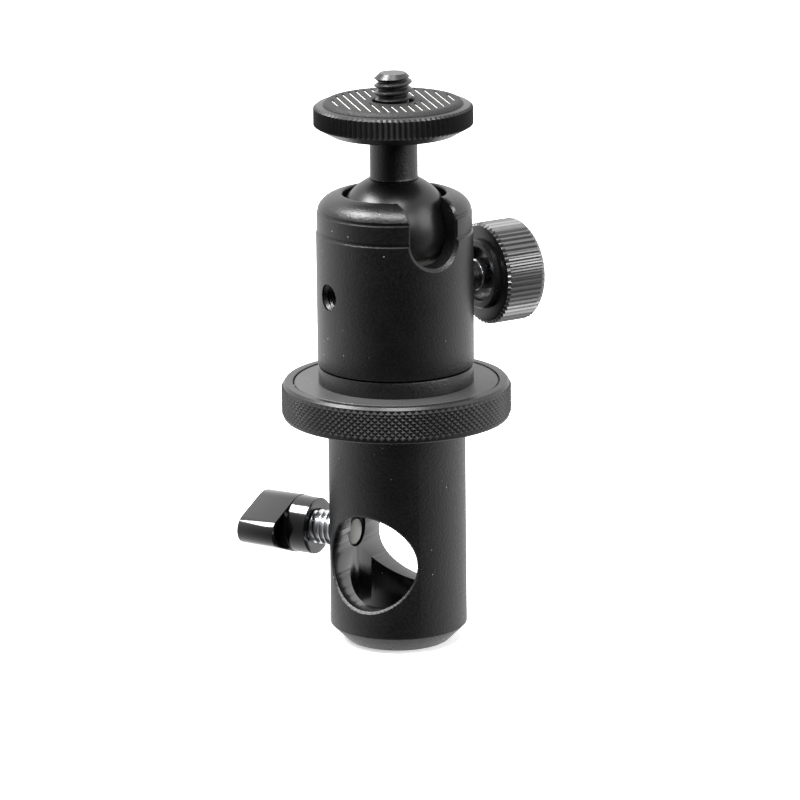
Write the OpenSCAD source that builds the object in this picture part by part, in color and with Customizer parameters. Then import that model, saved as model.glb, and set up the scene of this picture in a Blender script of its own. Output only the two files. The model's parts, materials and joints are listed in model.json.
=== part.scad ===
// Small camera ball head on a light-stand socket. Everything is in millimetres, +Z up, with the origin in
// the middle of the socket's bottom rim. The socket's cross bore runs along Y and its clamp screw points at -X.

/* [Socket] */
// Radius of the socket tube
tube_r = 11.6; // [10.5:0.1:13]
// Radius of the upright bore that takes a 5/8 inch stand spigot
spigot_r = 8.2; // [8.05:0.05:8.6]
// Depth of the upright bore
spigot_depth = 36; // [30:0.5:37]
// Radius of the bore that crosses the tube
cross_r = 8.2; // [8.05:0.05:8.6]
// Height of the cross bore's axis
cross_z = 15.5; // [13:0.1:17]
// Height of the clamp screw's axis
clamp_z = 17.2; // [14:0.1:19]
// Height of the chamfer round the bottom rim
rim_chamfer = 2.8; // [0.5:0.1:3]

/* [Turntable] */
// Height of the turntable's upper face, where the ball head stands
deck_z = 45; // [43:0.5:50]
// Outer radius of the knurled lock ring
ring_r = 19.4; // [19:0.1:22]
// Height of the lock ring
ring_h = 6.1; // [5:0.1:7]
// Radius of the turntable plate as it shows inside the ring
plate_r = 17.15; // [16:0.05:17.3]

/* [Ball head] */
// Angle of the housing's notch, from the cross bore's front mouth towards +X
notch_turn = 62; // [0:1:359]
// Angle from the notch to the lock knob
knob_turn = 90; // [80:1:120]
// Radius of the ball
ball_r = 9.67; // [9:0.01:9.7]
// Height of the ball's centre above the turntable
ball_rise = 26; // [25:0.5:28]
// Outer radius of the housing
housing_r = 13.15; // [12.8:0.05:14]
// Height of the lock knob's axis above the turntable
knob_rise = 16; // [15.5:0.1:16.5]

/* [Platform] */
// Radius of the platform over its knurl
platform_r = 13.3; // [12:0.1:16]
// Number of teeth round the platform
platform_teeth = 88; // [60:1:100]
// Radius of the neck under the platform
neck_r = 4; // [3.6:0.1:4.1]
// Length of camera screw that stands above the pad
screw_rise = 4.6; // [4:0.1:6]

/* [Knobs] */
// Radius of the lock knob over its ribs
knob_r = 8.65; // [7:0.05:10]
// Length of the lock knob's ribbed rim
knob_len = 7.7; // [5:0.1:9]
// Number of ribs round the lock knob
knob_ribs = 54; // [36:1:60]
// Half the span of the clamp screw's wing
wing_half = 9.3; // [8:0.1:14]

/* [Hidden] */
$fn = 96;

// Gaps: a running fit, a plain working gap, and a far cut that overshoots a face
fit_gap = 0.05;
free_gap = 0.25;
over = 1;

// Turntable stack, from the socket flange up
ring_z = deck_z + 0.1 - ring_h;
flange_z = ring_z + 0.3;
flange_top = flange_z + 2.5;
flange_r = ring_r - 1.1;
washer_t = 0.5;
plate_z = flange_top + washer_t + fit_gap;
plate_step = 43.2 / 45 * deck_z;
plate_flange_r = flange_r - 0.2;
lip_z = plate_step + 0.55;
lip_r = plate_r + free_gap;
ring_bevel = 0.5;
m6_r = 2.95;
m6_hole = m6_r + fit_gap;
bolt_pocket_r = 7.2;
bolt_pocket_h = 3.4;

// Ball head
base_r = housing_r - 0.1;
base_h = 2.8;
plug_r = 9.6;
plug_h = 4.2;
housing_z = deck_z + base_h + 0.2;
cavity_r = 9.75;
ball_z = deck_z + ball_rise;
mouth_r = 8.7;
mouth_z = ball_z + 6.3;
brim_r = 9.3;
brim_bend = [brim_r + 2.45, mouth_z - 1.1];
groove_w = 0.6;
groove_d = 0.3;
groove_rises = [0, 3.5];
step_in = 0.17;
notch_r = neck_r + 0.35;
knob_z = deck_z + knob_rise;
knob_az = notch_turn + knob_turn;
grub_az = knob_az + 180;
seat_r = 9.6;
seat_core_r = 6.5;
seat_floor = knob_z - 4;
seat_top = ball_z - 5;
flank_z = knob_z - 0.6;
pin_tip = seat_core_r + 1;
pin_end = cavity_r - 0.15;
pin_r = 2.5;
grub_r = 2.15;
shaft_r = 2.65;
knob_face = 17.2;
boss_r = 5.95;
boss_h = 0.95;
spring_r = 6;
wire_r = 0.55;
coil_turns = 3;
coil_sides = 8;
coil_steps = 20;

// Platform, seen from the ball up
flat_r = neck_r + 0.1;
flat_z = ball_z + sqrt(ball_r * ball_r - flat_r * flat_r);
platform_z = ball_z + 16.4;
platform_bevel = 1.5;
knurl_h = 3.3;
platform_top = platform_z + platform_bevel + knurl_h;
tooth_depth = 0.42;
pad_r = 11.7;
pad_h = 0.7;
pad_top = platform_top + pad_h;
camera_r = 3.175;
camera_core = 2.6;
stud_r = 2.45;

// Wing and clamp screw, along an axis that leaves the tube
tip_face = spigot_r + 0.1;
tip_r = 2.3;
tip_h = 1.05;
tip_stem_r = 1.2;
bolt_start = tip_face + tip_h + fit_gap;
hub_face = 15.8;
hub_r = 4.88;
hub_len = 3.6;
wing_mid_r = hub_r + 0.15;
wing_end_r = 2.5;
wing_face = hub_face + hub_len;
wing_len = 7;
bolt_head_r = 4.2;
bolt_head_h = 3;
bolt_head_at = wing_face + 2;
pocket_wall = 1;
pocket_depth = 5;

// Points its children's +Z axis outwards at an angle a round the Z axis, at a height z
module outward(a, z) { translate([0, 0, z]) rotate([0, 0, a]) rotate([90, 0, 0]) children(); }

// A solid of revolution from a list of [radius, height] points
module turned(points) { rotate_extrude() polygon(points); }

// A flat ring
module ring(r_out, r_in, z, h) {
    translate([0, 0, z]) difference() {
        cylinder(r = r_out, h = h);
        translate([0, 0, -over]) cylinder(r = r_in, h = h + 2 * over);
    }
}

// Outline of a wheel with straight V teeth
function toothed(r, depth, count) = [for (i = [0 : 2 * count - 1])
    let (a = i * 180 / count, p = i % 2 == 0 ? r : r - depth) [p * cos(a), p * sin(a)]];

module socket_body() color("#262728") difference() {
    union() {
        turned([[0, 0], [tube_r - rim_chamfer, 0], [tube_r, rim_chamfer], [tube_r, flange_z],
            [flange_r, flange_z], [flange_r, flange_top], [0, flange_top]]);
    }
    translate([0, 0, -over]) cylinder(r = spigot_r, h = spigot_depth + over);
    translate([0, tube_r + over, cross_z]) rotate([90, 0, 0]) cylinder(r = cross_r, h = 2 * (tube_r + over));
    outward(-90, clamp_z) cylinder(r = m6_hole, h = tube_r + over);
    translate([0, 0, flange_top - bolt_pocket_h]) cylinder(r = bolt_pocket_r, h = bolt_pocket_h + over);
}

module slip_washer() color("#b8b09a") ring(flange_r - 0.3, bolt_pocket_r + 0.6, flange_top, washer_t);

module lock_ring() color("#2b2c2d") turned([[lip_r, lip_z], [lip_r, deck_z + 0.1],
    [ring_r - ring_bevel, deck_z + 0.1], [ring_r, deck_z + 0.1 - ring_bevel], [ring_r, ring_z + 0.3],
    [ring_r - 0.3, ring_z], [flange_r + fit_gap, ring_z], [flange_r + fit_gap, lip_z]]);

module pan_plate() color("#3a3a3b") turned([[m6_hole, plate_z], [plate_flange_r, plate_z],
    [plate_flange_r, plate_step], [plate_r, plate_step], [plate_r, deck_z], [m6_hole, deck_z]]);

module glide_washer() color("#d9d6cc") ring(plate_flange_r, plate_r + 0.1, plate_step, washer_t);

module centre_bolt() color("#c9ccd0") difference() {
    union() {
        translate([0, 0, flange_top - 3]) cylinder(r = 5, h = 2.6);
        translate([0, 0, flange_top - 0.5]) cylinder(r = m6_r, h = 9.4);
    }
    translate([0, 0, flange_top - 3 - over]) cylinder(r = 2.7, h = 1.8 + over, $fn = 6);
}

module bolt_washer() color("#c9ccd0") ring(6.4, m6_hole, flange_top - 0.4, plate_z - flange_top + 0.4);

module head_base() color("#1e1f20") difference() {
    turned([[0, deck_z], [base_r, deck_z], [base_r, deck_z + base_h - 0.3], [base_r - 0.3, deck_z + base_h],
        [plug_r, deck_z + base_h], [plug_r, deck_z + base_h + plug_h - 0.4],
        [plug_r - 0.4, deck_z + base_h + plug_h], [0, deck_z + base_h + plug_h]]);
    translate([0, 0, deck_z - over]) cylinder(r = m6_hole, h = 7 + over);
}

// Housing: a cup turned upside down over the ball, with a notch that the neck drops into
module head_housing() color("#262728") difference() {
    turned(concat(
        [[0, housing_z], [housing_r - 0.3, housing_z], [housing_r, housing_z + 0.3]],
        [for (i = [0 : len(groove_rises) - 1], k = [0 : 3])
            let (r = housing_r - i * step_in, z = ball_z + groove_rises[i], w = groove_w / 2)
            [r - (k == 0 ? 0 : k == 3 ? step_in : groove_d), z + [-w, -w / 2, w / 2, w][k]]],
        [for (t = [0.1 : 0.1 : 1]) t * t * [brim_r, mouth_z] + 2 * t * (1 - t) * brim_bend
            + (1 - t) * (1 - t) * [housing_r - 2 * step_in, ball_z + groove_rises[1] + groove_w / 2]],
        [[0, mouth_z]]));
    translate([0, 0, housing_z - over]) cylinder(r = cavity_r, h = ball_z - housing_z + over);
    translate([0, 0, ball_z]) sphere(r = ball_r + fit_gap);
    translate([0, 0, ball_z]) cylinder(r = mouth_r, h = mouth_z);
    outward(notch_turn, ball_z) linear_extrude(housing_r + over) polygon(notch_outline());
    outward(knob_az, knob_z) cylinder(r = m6_hole, h = housing_r + over);
    outward(grub_az, knob_z) {
        cylinder(r = grub_r + fit_gap, h = housing_r + over);
        translate([0, 0, housing_r - 0.9]) cylinder(r1 = grub_r, r2 = grub_r + 1.2, h = 1.2);
    }
}

// Outline of the notch: round under the neck and open at the top
function notch_outline() = concat([for (a = [180 : 7.5 : 360]) notch_r * [cos(a), sin(a)]],
    [[notch_r, mouth_z], [-notch_r, mouth_z]]);

// Cup under the ball, with a sloping flank that the thrust pin drives upwards
module ball_seat() color("#cfc8b4") difference() {
    turned([[2, seat_floor], [seat_core_r, seat_floor], [seat_core_r, flank_z],
        [seat_r, flank_z + seat_r - seat_core_r], [seat_r, seat_top], [2, seat_top]]);
    translate([0, 0, ball_z]) sphere(r = ball_r + fit_gap);
}

// Coil spring: a round wire swept along a helix
module seat_spring() color("#c9ccd0") {
    low = deck_z + base_h + plug_h + wire_r;
    rise = seat_floor - wire_r - low;
    steps = coil_turns * coil_steps;
    points = [for (i = [0 : steps], s = [0 : coil_sides - 1])
        let (a = i * 360 / coil_steps, b = s * 360 / coil_sides, r = spring_r - 1 + wire_r * cos(b))
        [r * cos(a), r * sin(a), low + rise * i / steps + wire_r * sin(b)]];
    sides = [for (i = [0 : steps - 1], s = [0 : coil_sides - 1])
        let (t = (s + 1) % coil_sides, p = i * coil_sides, q = p + coil_sides)
        [p + s, q + s, q + t, p + t]];
    start = [for (s = [0 : coil_sides - 1]) s];
    end = [for (s = [coil_sides - 1 : -1 : 0]) steps * coil_sides + s];
    polyhedron(points, concat([start, end], sides), convexity = 6);
}

module grub_screw() color("#151515") outward(grub_az, knob_z) difference() {
    union() {
        translate([0, 0, pin_tip]) cylinder(r1 = 0.3, r2 = grub_r, h = grub_r - 0.3);
        translate([0, 0, pin_tip + grub_r - 0.3]) cylinder(r = grub_r, h = 2.2);
    }
    translate([0, 0, pin_tip + grub_r + 0.6]) cylinder(r = 1.2, h = 3, $fn = 6);
}

module thrust_pin() color("#b8954a") outward(knob_az, knob_z)
    turned([[0, pin_tip], [0.4, pin_tip], [pin_r, pin_tip + pin_r - 0.4], [pin_r, pin_end],
        [0, pin_end]]);

module knob_screw() color("#c9ccd0") outward(knob_az, knob_z)
    turned([[0, pin_end + fit_gap], [m6_r - 0.4, pin_end + fit_gap], [m6_r, pin_end + 0.5],
        [m6_r, housing_r + 0.6], [shaft_r, housing_r + 0.9], [shaft_r, knob_face + knob_len - 2],
        [0, knob_face + knob_len - 2]]);

module lock_knob() color("#232323") outward(knob_az, knob_z) difference() {
    union() {
        intersection() {
            translate([0, 0, knob_face]) linear_extrude(knob_len)
                polygon(toothed(knob_r, 0.45, knob_ribs));
            turned([[0, knob_face], [knob_r - 0.6, knob_face], [knob_r + 0.1, knob_face + 0.7],
                [knob_r + 0.1, knob_face + knob_len - 0.7], [knob_r - 0.6, knob_face + knob_len],
                [0, knob_face + knob_len]]);
        }
        translate([0, 0, knob_face - boss_h]) cylinder(r = boss_r, h = boss_h + 1);
    }
    translate([0, 0, knob_face - boss_h - over]) cylinder(r = 4.6, h = 2.4 + over);
    cylinder(r = shaft_r, h = knob_face + knob_len - 2);
    translate([0, 0, knob_face + knob_len - 0.6]) cylinder(r = knob_r - 2, h = 1);
}

module ball() color("#2a2b2c") difference() {
    translate([0, 0, ball_z]) sphere(r = ball_r);
    translate([0, 0, flat_z]) cylinder(r = ball_r, h = ball_r);
    translate([0, 0, flat_z - 6]) cylinder(r = stud_r + fit_gap, h = ball_r);
}

module neck() color("#262728") difference() {
    turned([[0, flat_z - 5.6], [stud_r - 0.4, flat_z - 5.6], [stud_r, flat_z - 5.2],
        [stud_r, flat_z + fit_gap], [neck_r, flat_z + fit_gap], [neck_r, platform_z],
        [camera_r + 0.4, platform_z], [camera_r + 0.4, platform_top - 1], [0, platform_top - 1]]);
    translate([0, 0, platform_top - 7]) cylinder(r = camera_core, h = 7);
}

module platform_disc() color("#232425") difference() {
    intersection() {
        translate([0, 0, platform_z]) linear_extrude(platform_bevel + knurl_h)
            polygon(toothed(platform_r, tooth_depth, platform_teeth));
        turned([[0, platform_z], [platform_r - platform_bevel * 1.7, platform_z],
            [platform_r + 0.1, platform_z + platform_bevel], [platform_r + 0.1, platform_top - 0.4],
            [platform_r - 0.5, platform_top], [0, platform_top]]);
    }
    translate([0, 0, platform_z - over]) cylinder(r = camera_r + 0.4, h = platform_top - platform_z);
    translate([0, 0, platform_z]) cylinder(r = camera_core, h = platform_top);
}

module platform_pad() color("#171717") turned([[camera_r + 0.3, platform_top], [pad_r, platform_top],
    [pad_r - 0.6, pad_top], [camera_r + 0.3, pad_top]]);

module camera_screw() color("#1b1b1b")
    turned([[0, platform_top - 6.5], [camera_core, platform_top - 6.5], [camera_core, pad_top],
        [camera_r, pad_top], [camera_r, pad_top + screw_rise - 0.4],
        [camera_r - 0.4, pad_top + screw_rise], [0, pad_top + screw_rise]]);

module pressure_tip() color("#eeece4") outward(-90, clamp_z)
    turned([[0, tip_face], [tip_r - 0.3, tip_face], [tip_r, tip_face + 0.3], [tip_r, tip_face + tip_h],
        [tip_stem_r, tip_face + tip_h], [tip_stem_r, tip_face + 3.6], [0, tip_face + 3.6]]);

module clamp_bolt() color("#c9ccd0") outward(-90, clamp_z) difference() {
    union() {
        turned([[0, bolt_start], [m6_r - 0.3, bolt_start], [m6_r, bolt_start + 0.3], [m6_r, bolt_head_at],
            [0, bolt_head_at]]);
        translate([0, 0, bolt_head_at]) cylinder(r = bolt_head_r, h = bolt_head_h, $fn = 6);
    }
    translate([0, 0, bolt_start - over]) cylinder(r = tip_stem_r + fit_gap, h = 3 + over);
}

// Outline of the wing: a lozenge with round ends, wrapped round a round hub
function wing_outline(grow) = [for (a = [0 : 5 : 355])
    let (c = wing_half - wing_end_r, end = c * abs(cos(a)) + wing_end_r > wing_mid_r,
        r = (end ? wing_end_r : wing_mid_r) + grow)
    [(end ? sign(cos(a)) * c : 0) + r * cos(a), r * sin(a)]];

module wing_handle() color("#141414") outward(-90, clamp_z) difference() {
    union() {
        translate([0, 0, hub_face]) cylinder(r = hub_r, h = hub_len + 1);
        translate([0, 0, wing_face]) linear_extrude(wing_len) polygon(wing_outline(0));
    }
    translate([0, 0, hub_face - over]) cylinder(r = m6_r, h = hub_len + 4);
    translate([0, 0, bolt_head_at]) cylinder(r = bolt_head_r, h = bolt_head_h, $fn = 6);
    // Cored-out pocket in the back of each arm
    for (side = [0, 180]) rotate([0, 0, side]) intersection() {
        translate([0, 0, wing_face - over]) linear_extrude(pocket_depth + over)
            polygon(wing_outline(-pocket_wall));
        translate([hub_r + 0.4, -hub_r, wing_face - over]) cube([wing_half, 2 * hub_r, wing_len]);
    }
}

socket_body();
slip_washer();
lock_ring();
pan_plate();
glide_washer();
centre_bolt();
bolt_washer();
head_base();
head_housing();
ball_seat();
seat_spring();
grub_screw();
thrust_pin();
knob_screw();
lock_knob();
ball();
neck();
platform_disc();
platform_pad();
camera_screw();
pressure_tip();
clamp_bolt();
wing_handle();
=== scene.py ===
"""Looks of a small camera ball head on a lockable turntable and a light-stand socket.

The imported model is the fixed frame: it gives every height, radius and joint axis. Each sub-assembly is a class that
builds its pieces in metres round the part's own +Z axis, dresses them and hands them to the body that they move with.
"""

import json
import logging
import math
from collections.abc import Callable, Sequence
from dataclasses import dataclass
from enum import Enum

import bmesh
import bpy
from mathutils import Matrix, Vector

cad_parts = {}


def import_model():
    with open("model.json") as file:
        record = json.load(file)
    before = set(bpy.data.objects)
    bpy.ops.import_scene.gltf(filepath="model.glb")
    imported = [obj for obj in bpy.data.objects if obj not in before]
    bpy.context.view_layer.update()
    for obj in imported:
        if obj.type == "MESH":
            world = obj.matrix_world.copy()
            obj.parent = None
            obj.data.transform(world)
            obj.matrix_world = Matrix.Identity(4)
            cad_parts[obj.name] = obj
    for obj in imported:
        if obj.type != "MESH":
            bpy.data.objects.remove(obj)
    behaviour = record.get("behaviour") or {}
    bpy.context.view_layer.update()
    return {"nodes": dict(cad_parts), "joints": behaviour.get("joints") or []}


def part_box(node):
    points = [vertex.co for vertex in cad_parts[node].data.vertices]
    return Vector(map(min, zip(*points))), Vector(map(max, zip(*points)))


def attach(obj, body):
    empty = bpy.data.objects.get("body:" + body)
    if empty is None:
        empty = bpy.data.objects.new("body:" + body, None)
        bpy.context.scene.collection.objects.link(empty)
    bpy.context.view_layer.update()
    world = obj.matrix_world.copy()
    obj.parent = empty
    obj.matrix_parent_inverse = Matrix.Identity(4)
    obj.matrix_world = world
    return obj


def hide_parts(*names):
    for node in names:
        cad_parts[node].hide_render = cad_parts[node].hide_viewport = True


LOG = logging.getLogger("ball_head")

MM = 0.001
TURN = 2 * math.pi
SEGMENTS = 144
MERGE = 1e-6
THREAD_STEPS = 48

Piece = bpy.types.Object
Material = bpy.types.Material
Plug = bpy.types.NodeSocket
Profile = Sequence[tuple[float, float]]
Ring = tuple[Sequence[float], float]
Outline = Sequence[tuple[float, float, float, float]]


class Boolean(Enum):
    """What a tool does to a piece."""

    CUT = "DIFFERENCE"
    CLIP = "INTERSECT"
    JOIN = "UNION"


# Modelling tools


def object_mode() -> None:
    """Leaves edit mode and drops every selection."""
    if bpy.context.object and bpy.context.object.mode != "OBJECT":
        bpy.ops.object.mode_set(mode="OBJECT")
    bpy.ops.object.select_all(action="DESELECT")


def activate(piece: Piece) -> None:
    """Makes a piece the only selected and the active one."""
    object_mode()
    piece.select_set(True)
    bpy.context.view_layer.objects.active = piece


def named(name: str) -> Piece:
    """Names the primitive that was just added."""
    bpy.context.object.name = name
    return bpy.context.object


def edit_all() -> None:
    """Enters edit mode with everything selected."""
    bpy.ops.object.mode_set(mode="EDIT")
    bpy.ops.mesh.select_all(action="SELECT")


def settle() -> None:
    """Makes the place, turn and scale of the selected pieces their meshes' own."""
    bpy.ops.object.transform_apply(location=True, rotation=True, scale=True)


def pick(piece: Piece, test: Callable[[Vector], bool]) -> None:
    """Selects the vertices of a piece in edit mode by their place.

    Args:
        piece: The object in edit mode.
        test: Says of a place whether its vertex is wanted.
    """
    bpy.ops.mesh.select_mode(type="VERT")
    mesh = bmesh.from_edit_mesh(piece.data)
    for part in (mesh.faces, mesh.edges, mesh.verts):
        for item in part:
            item.select = False
    for vert in mesh.verts:
        vert.select = test(vert.co)
    mesh.select_flush_mode()
    bmesh.update_edit_mesh(piece.data)


def close_mesh() -> None:
    """Merges doubles, turns every face outwards and leaves edit mode."""
    bpy.ops.mesh.select_all(action="SELECT")
    bpy.ops.mesh.remove_doubles(threshold=MERGE)
    bpy.ops.mesh.normals_make_consistent(inside=False)
    bpy.ops.object.mode_set(mode="OBJECT")


def draw_chain(name: str, profile: Profile) -> Piece:
    """Draws a chain of edges in the XZ plane by extruding one vertex.

    Args:
        name: Name of the new piece.
        profile: Radius and height of each point.

    Returns:
        The piece, in edit mode.
    """
    object_mode()
    bpy.ops.mesh.primitive_plane_add(size=MM, location=(0, 0, 0))
    piece = named(name)
    edit_all()
    bpy.ops.mesh.merge(type="CENTER")
    bpy.ops.mesh.select_mode(type="VERT")
    bpy.ops.mesh.select_all(action="SELECT")
    bpy.ops.transform.translate(value=(profile[0][0], 0, profile[0][1]))
    for (r_from, z_from), (r_to, z_to) in zip(profile, profile[1:]):
        step = (r_to - r_from, 0, z_to - z_from)
        bpy.ops.mesh.extrude_region_move(TRANSFORM_OT_translate={"value": step})
    return piece


def turn(name: str, profile: Profile, segments: int = SEGMENTS) -> Piece:
    """Turns a profile round the Z axis, as on a lathe.

    Args:
        name: Name of the new piece.
        profile: Radius and height of each point; it starts and ends on the axis, or ends where it starts.
        segments: Steps round the axis.

    Returns:
        The closed piece.
    """
    piece = draw_chain(name, profile)
    bpy.ops.mesh.select_all(action="SELECT")
    bpy.ops.mesh.spin(steps=segments, angle=TURN, center=(0, 0, 0), axis=(0, 0, 1))
    close_mesh()
    return piece


def stack(name: str, rings: Sequence[Sequence[Sequence[float]]], hollow: bool) -> Piece:
    """Skins a piece over a stack of rings that all have the same number of points.

    Args:
        name: Name of the new piece.
        rings: X, Y and Z of each ring's points; their number divides by four.
        hollow: Whether the last ring joins the first one round a hole; otherwise both are capped.

    Returns:
        The closed piece.
    """
    points = len(rings[0])
    object_mode()
    bpy.ops.mesh.primitive_circle_add(
        vertices=points, radius=1.0, fill_type="NOTHING" if hollow else "NGON", location=(0, 0, 0))
    piece = named(name)
    edit_all()
    for _ in rings[1:]:
        bpy.ops.mesh.extrude_region_move(TRANSFORM_OT_translate={"value": (0, 0, 1)})
    mesh = bmesh.from_edit_mesh(piece.data)
    for vert in mesh.verts:
        index = round(math.atan2(vert.co.y, vert.co.x) / TURN * points) % points
        vert.co = Vector(rings[round(vert.co.z)][index])
    bmesh.update_edit_mesh(piece.data)
    if hollow:
        bpy.ops.mesh.select_all(action="DESELECT")
        bpy.ops.mesh.select_non_manifold(
            extend=False, use_wire=False, use_multi_face=False, use_non_contiguous=False)
        bpy.ops.mesh.bridge_edge_loops()
    close_mesh()
    return piece


def toothed(name: str, count: int, rings: Sequence[Ring]) -> Piece:
    """Builds a wheel round a hole, whose rim repeats a pattern of radii, ring by ring.

    Args:
        name: Name of the new piece.
        count: How often the pattern repeats round the rim.
        rings: For each ring, the radii of one pattern, or one radius all round, and the height.

    Returns:
        The closed piece.
    """
    points = count * max(len(radii) for radii, _ in rings)
    around = [(math.cos(angle), math.sin(angle)) for angle in (k * TURN / points for k in range(points))]
    return stack(name, [
        [(radii[k % len(radii)] * x, radii[k % len(radii)] * y, height) for k, (x, y) in enumerate(around)]
        for radii, height in rings], True)


def add_modifier(piece: Piece, kind: str, settings: dict[str, object]) -> None:
    """Adds a modifier to a piece and applies it.

    Args:
        piece: The piece.
        kind: The modifier's type.
        settings: Its settings by name.
    """
    activate(piece)
    bpy.ops.object.modifier_add(type=kind)
    modifier = piece.modifiers[-1]
    for key, value in settings.items():
        setattr(modifier, key, value)
    bpy.ops.object.modifier_apply(modifier=modifier.name)


def combine(piece: Piece, tool: Piece, operation: Boolean = Boolean.CUT) -> None:
    """Cuts, joins or clips a piece with a tool, which is used up."""
    add_modifier(piece, "BOOLEAN", {"operation": operation.value, "solver": "EXACT", "object": tool})
    bpy.data.objects.remove(tool)


def soften(piece: Piece, width: float, segments: int = 2, angle: float = 35.0) -> None:
    """Rounds every edge of a piece that is sharper than an angle."""
    add_modifier(piece, "BEVEL", {
        "width": width, "segments": segments, "limit_method": "ANGLE", "angle_limit": math.radians(angle),
        "miter_outer": "MITER_ARC"})


def lay(piece: Piece, azimuth: float, height: float) -> None:
    """Lays a piece that is built along +Z so that it points outwards, and makes that its mesh's own place.

    Args:
        piece: The piece.
        azimuth: Where it points, from -Y towards +X, in radians.
        height: Height of its axis.
    """
    activate(piece)
    piece.rotation_euler = (math.pi / 2, 0, azimuth)
    piece.location = (0, 0, height)
    settle()


def cylinder(name: str, radius: float, low: float, high: float, segments: int = 96) -> Piece:
    """Adds a plain cylinder along Z, for use as a cutter."""
    object_mode()
    bpy.ops.mesh.primitive_cylinder_add(
        vertices=segments, radius=radius, depth=high - low, location=(0, 0, (low + high) / 2)
    )
    piece = named(name)
    settle()
    return piece


def block(name: str, low: Sequence[float], high: Sequence[float]) -> Piece:
    """Adds a plain box between two corners, for use as a cutter."""
    object_mode()
    centre = [(a + b) / 2 for a, b in zip(low, high)]
    bpy.ops.mesh.primitive_cube_add(size=1, location=centre)
    piece = named(name)
    piece.scale = [b - a for a, b in zip(low, high)]
    settle()
    return piece


def hull(name: str, discs: Sequence[tuple[float, float, float]], low: float, high: float) -> Piece:
    """Wraps a tight skin round upright discs.

    Args:
        name: Name of the new piece.
        discs: X, Y and radius of each disc.
        low: Height of the lower face.
        high: Height of the upper face.

    Returns:
        The closed, convex piece.
    """
    object_mode()
    middle = (low + high) / 2
    piece = None
    for x, y, radius in discs:
        bpy.ops.mesh.primitive_cylinder_add(
            vertices=64, radius=radius, depth=high - low, location=(x, y, middle)
        )
        if piece is None:
            piece = named(name)
            settle()
            bpy.ops.object.mode_set(mode="EDIT")
    bpy.ops.mesh.select_all(action="SELECT")
    bpy.ops.mesh.convex_hull(delete_unused=True, use_existing_faces=False, join_triangles=True)
    bpy.ops.mesh.dissolve_limited(angle_limit=math.radians(0.5))
    close_mesh()
    return piece


def flared(
    name: str, outline: Outline, skin: Callable[[float, float], float], low: float, top: float, chamfer: float
) -> Piece:
    """Builds a cutter along +Z that opens an outline in a curved skin and chamfers its edge.

    Args:
        name: Name of the new piece.
        outline: X, Y and the outward normal's X and Y of each point; their number divides by four.
        skin: Gives the height of the skin over a place.
        low: Height of the lower face.
        top: Height of the upper face, clear of the skin.
        chamfer: Width and depth of the chamfer.

    Returns:
        The closed piece.
    """
    over = 0.6 * chamfer
    wide = [(x + nx * (chamfer + over), y + ny * (chamfer + over)) for x, y, nx, ny in outline]
    rings = [
        [(x, y, low) for x, y, _, _ in outline],
        [(x, y, skin(x, y) - chamfer) for x, y, _, _ in outline],
        [(x, y, skin(x, y) + over) for x, y in wide],
        [(x, y, top) for x, y in wide]]
    return stack(name, rings, False)


def thread(name: str, crest: float, root: float, pitch: float, low: float, high: float) -> Piece:
    """Winds a right-handed V thread round the Z axis and cuts its ends flat.

    Args:
        name: Name of the new piece.
        crest: Radius of the crests.
        root: Radius of the roots.
        pitch: Height of one turn.
        low: Height of the lower end.
        high: Height of the upper end.

    Returns:
        The closed piece.
    """
    step = pitch / THREAD_STEPS
    first = low - 1.5 * pitch - 0.4 * step
    high = low + round((high - low) / step) * step
    shape = ((root, 0.0), (root, 0.12), (crest, 0.5), (crest, 0.62), (root, 1.0))
    piece = draw_chain(name, [(radius, first + part * pitch) for radius, part in shape])
    add_modifier(piece, "SCREW", {
        "screw_offset": pitch, "iterations": math.ceil((high - first) / pitch) + 1, "steps": THREAD_STEPS,
        "render_steps": THREAD_STEPS, "use_merge_vertices": True, "merge_threshold": MERGE})
    edit_all()
    bpy.ops.mesh.remove_doubles(threshold=MERGE)
    for height, upper in ((low, False), (high, True)):
        bpy.ops.mesh.select_all(action="SELECT")
        bpy.ops.mesh.bisect(
            plane_co=(0, 0, height), plane_no=(0, 0, 1), use_fill=True, clear_inner=not upper, clear_outer=upper,
            threshold=0.1 * MERGE,
        )
    close_mesh()
    return piece


# Finishes


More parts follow.
